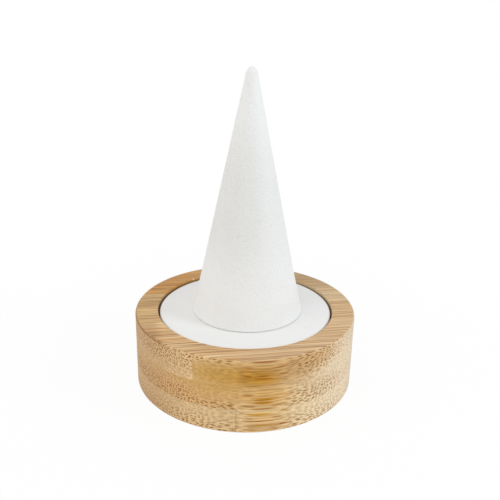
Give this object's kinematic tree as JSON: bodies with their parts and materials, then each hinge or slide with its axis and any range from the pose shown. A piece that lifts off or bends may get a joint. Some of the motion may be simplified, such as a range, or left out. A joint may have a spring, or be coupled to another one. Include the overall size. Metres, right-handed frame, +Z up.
{
  "type": "ring display stand",
  "caption": "Finger-ring display: tall covered cone that rings slide over, standing on a covered pad let into a round bamboo base.",
  "frame": {"origin": "middle of the base's flat underside", "axes": "+Z up along the base's axis, -Y towards the front that the picture shows, +X to the viewer's right"},
  "size_m": [0.076, 0.076, 0.1073],
  "materials": {
    "bamboo": "laminated bamboo, sanded, thin clear matt lacquer",
    "board": "raw fibreboard",
    "pad_leatherette": "white leatherette, smooth, matt",
    "turned_wood": "turned wood, raw",
    "cone_leatherette": "white leatherette, fine grain, matt",
    "screw_steel": "bright zinc"
  },
  "bodies": {
    "root": {"bamboo_base": "bamboo", "pad_board": "board", "pad_cover": "pad_leatherette", "cone_core": "turned_wood", "cone_cover": "cone_leatherette", "cone_screw": "screw_steel"}
  },
  "joints": []
}
